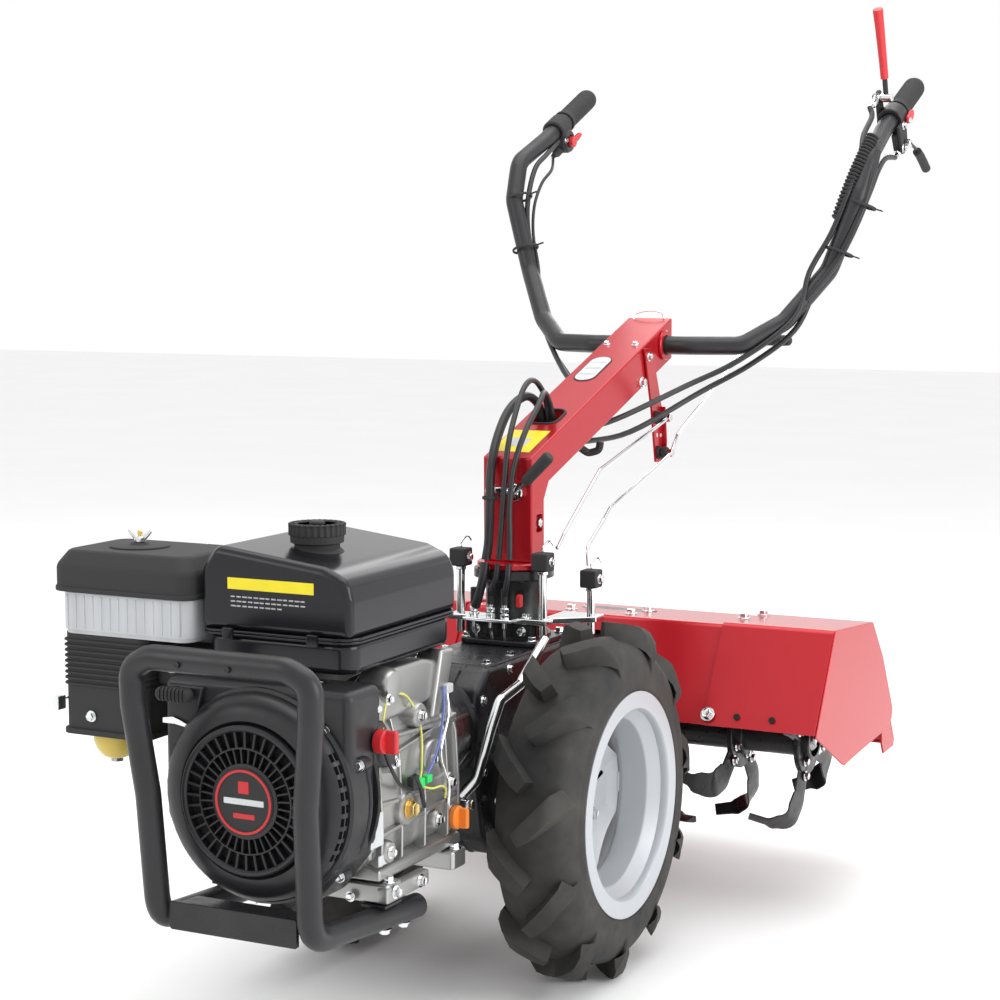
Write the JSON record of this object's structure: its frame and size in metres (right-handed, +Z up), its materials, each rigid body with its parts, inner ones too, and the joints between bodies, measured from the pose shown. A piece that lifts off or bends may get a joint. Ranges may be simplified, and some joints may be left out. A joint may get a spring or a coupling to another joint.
{
  "type": "two-wheel tiller",
  "caption": "Walk-behind two-wheel tractor with engine guard hoop, swivelling handlebar column and hooded rear rotary tiller.",
  "frame": {"origin": "on the ground, under the middle of the bounding box", "axes": "+Z up, +Y back towards the handles, +X to the left of the operator who walks behind"},
  "size_m": [0.74, 1.6006, 1.2888],
  "materials": {
    "black_gloss_paint": "gloss",
    "black_satin_paint": "satin",
    "black_plastic": "matte",
    "red_paint": "gloss",
    "red_plastic": "satin",
    "cast_alloy": "cast",
    "steel": "satin",
    "bright_zinc": "bright",
    "rim_silver": "satin",
    "rubber": "matte",
    "grip_rubber": "matte",
    "clear_band": "translucent",
    "amber_plastic": "translucent",
    "orange_plastic": "satin"
  },
  "bodies": {
    "chassis": {"engine_crankcase": "cast_alloy", "cylinder_head": "cast_alloy", "muffler": "black_satin_paint", "blower_housing": "black_satin_paint", "recoil_cover": "black_plastic", "intake_box": "black_plastic", "fuel_bowl": "amber_plastic", "air_cleaner_body": "clear_band", "engine_base": "cast_alloy", "fuel_tank_lower": "black_gloss_paint", "fuel_tank_upper": "black_gloss_paint", "bumper_hoop": "black_satin_paint", "bumper_plate": "black_satin_paint", "clutch_housing": "black_satin_paint", "gearbox_housing": "black_satin_paint", "column_base": "black_satin_paint", "pto_coupling": "black_satin_paint", "tiller_gearcase": "black_satin_paint", "tiller_hood": "red_paint", "hood_extension_left": "red_paint", "hood_extension_right": "red_paint"},
    "filler_cap": {"fuel_cap": "black_plastic"},
    "cleaner_lid": {"air_cleaner_cover": "black_plastic"},
    "starter_handle": {"recoil_handle": "black_plastic"},
    "oil_cap": {"oil_filler_cap": "orange_plastic"},
    "switch_knob": {"engine_switch": "red_plastic"},
    "flap": {"rear_flap": "red_paint"},
    "crank": {"crankshaft": "steel", "flywheel_fan": "cast_alloy", "clutch_drum": "steel"},
    "drive": {"worm_shaft": "steel"},
    "wheels": {"wheel_axle": "steel", "axle_gear": "steel", "rim_left": "rim_silver", "rim_right": "rim_silver", "tyre_left": "rubber", "tyre_right": "rubber"},
    "rotor": {"rotor_shaft": "steel", "rotor_left": "black_satin_paint", "rotor_right": "black_satin_paint"},
    "column": {"steering_column": "red_paint", "rod_bracket": "red_paint", "front_cables": "black_plastic"},
    "lock_lever": {"swivel_lock_lever": "black_plastic"},
    "handlebar": {"handlebar_tube": "black_satin_paint", "grip_left": "grip_rubber", "grip_right": "grip_rubber", "clutch_bracket": "black_satin_paint", "throttle_housing": "black_plastic", "handle_cables": "black_plastic"},
    "clutch_hand_lever": {"clutch_lever": "red_plastic"},
    "brake_hand_lever": {"brake_lever": "black_plastic"},
    "catch": {"safety_catch": "red_plastic"},
    "throttle": {"throttle_lever": "red_plastic"},
    "selector_left": {"selector_shaft_left": "black_satin_paint"},
    "selector_middle": {"selector_shaft_middle": "black_satin_paint"},
    "selector_right": {"selector_shaft_right": "black_satin_paint"},
    "gear_rod_upper": {"upper_gear_rod": "bright_zinc"},
    "gear_rod_lower": {"lower_gear_rod": "bright_zinc"},
    "drive_hand_lever": {"drive_lever": "bright_zinc"}
  },
  "joints": [
    {"name": "crank_spin", "type": "hinge", "parent": "chassis", "child": "crank", "pos_m": [0, -0.50432, 0.324], "axis": [0, 1, 0], "continuous": true},
    {"name": "worm_spin", "type": "hinge", "parent": "chassis", "child": "drive", "pos_m": [0, -0.20432, 0.324], "axis": [0, 1, 0], "continuous": true},
    {"name": "wheel_spin", "type": "hinge", "parent": "chassis", "child": "wheels", "pos_m": [0, -0.20432, 0.22704], "axis": [1, 0, 0], "continuous": true},
    {"name": "rotor_spin", "type": "hinge", "parent": "chassis", "child": "rotor", "pos_m": [0, 0.25068, 0.228], "axis": [1, 0, 0], "continuous": true},
    {"name": "column_swivel", "type": "hinge", "parent": "chassis", "child": "column", "pos_m": [0, -0.07632, 0.5], "axis": [0, 0, 1], "range_deg": [-20, 20]},
    {"name": "lock_lever_turn", "type": "hinge", "parent": "column", "child": "lock_lever", "pos_m": [0.014, -0.10232, 0.603], "axis": [0, 1, 0], "range_deg": [0, 75]},
    {"name": "handlebar_tilt", "type": "hinge", "parent": "column", "child": "handlebar", "pos_m": [0, 0.35568, 0.783], "axis": [1, 0, 0], "range_deg": [-12, 12]},
    {"name": "clutch_lever_squeeze", "type": "hinge", "parent": "handlebar", "child": "clutch_hand_lever", "pos_m": [0.288, 0.65587, 1.16062], "axis": [1, 0, 0], "range_deg": [-68, 0], "stiffness_Nm_per_rad": 0.8, "springref_deg": 11.46},
    {"name": "brake_lever_squeeze", "type": "hinge", "parent": "handlebar", "child": "brake_hand_lever", "pos_m": [0.288, 0.67422, 1.09081], "axis": [1, 0, 0], "range_deg": [0, 30], "stiffness_Nm_per_rad": 0.6, "springref_deg": -11.46},
    {"name": "safety_catch_press", "type": "hinge", "parent": "handlebar", "child": "catch", "pos_m": [0.288, 0.67556, 1.12567], "axis": [1, 0, 0], "range_deg": [0, 18], "stiffness_Nm_per_rad": 0.2, "springref_deg": -5.73},
    {"name": "throttle_turn", "type": "hinge", "parent": "handlebar", "child": "throttle", "pos_m": [-0.288, 0.67776, 1.10682], "axis": [1, 0, 0], "range_deg": [0, 45]},
    {"name": "upper_rod_slide", "type": "slide", "parent": "column", "child": "gear_rod_upper", "axis": [0, 0.9744, 0.2249], "range_m": [-0.012, 0.012]},
    {"name": "lower_rod_slide", "type": "slide", "parent": "column", "child": "gear_rod_lower", "axis": [0, 0.9792, 0.2029], "range_m": [-0.02, 0.02]},
    {"name": "selector_left_turn", "type": "hinge", "parent": "chassis", "child": "selector_left", "pos_m": [0.103, -0.05232, 0.47], "axis": [0, 0, 1], "range_deg": [-32, 32]},
    {"name": "selector_middle_turn", "type": "hinge", "parent": "chassis", "child": "selector_middle", "pos_m": [0.06, -0.11232, 0.47], "axis": [0, 0, 1], "range_deg": [-32, 32]},
    {"name": "selector_right_turn", "type": "hinge", "parent": "chassis", "child": "selector_right", "pos_m": [-0.062, -0.11232, 0.47], "axis": [0, 0, 1], "range_deg": [-32, 32]},
    {"name": "drive_lever_swing", "type": "hinge", "parent": "chassis", "child": "drive_hand_lever", "pos_m": [0.09, -0.38532, 0.271], "axis": [1, 0, 0], "range_deg": [-8, 12]},
    {"name": "fuel_cap_lift", "type": "slide", "parent": "chassis", "child": "filler_cap", "axis": [0, 0, 1], "range_m": [0, 0.06]},
    {"name": "cleaner_lid_lift", "type": "slide", "parent": "chassis", "child": "cleaner_lid", "axis": [0, 0, 1], "range_m": [0, 0.08]},
    {"name": "starter_pull", "type": "slide", "parent": "chassis", "child": "starter_handle", "axis": [0.5, -0.866, 0], "range_m": [0, 0.5], "stiffness_N_per_m": 8, "springref_m": -0.25},
    {"name": "oil_cap_turn", "type": "hinge", "parent": "chassis", "child": "oil_cap", "pos_m": [0.11, -0.44832, 0.253], "axis": [1, 0, 0], "range_deg": [0, 175]},
    {"name": "switch_turn", "type": "hinge", "parent": "chassis", "child": "switch_knob", "pos_m": [0.125, -0.65032, 0.386], "axis": [1, 0, 0], "range_deg": [-45, 0]},
    {"name": "flap_swing", "type": "hinge", "parent": "chassis", "child": "flap", "pos_m": [0, 0.41068, 0.324], "axis": [1, 0, 0], "range_deg": [0, 70]}
  ],
  "couplings": [
    {"joint": "worm_spin", "follows": "rotor_spin", "ratio": 4},
    {"joint": "selector_middle_turn", "follows": "upper_rod_slide", "rad_per_m": 40},
    {"joint": "selector_left_turn", "follows": "lower_rod_slide", "rad_per_m": 25}
  ]
}
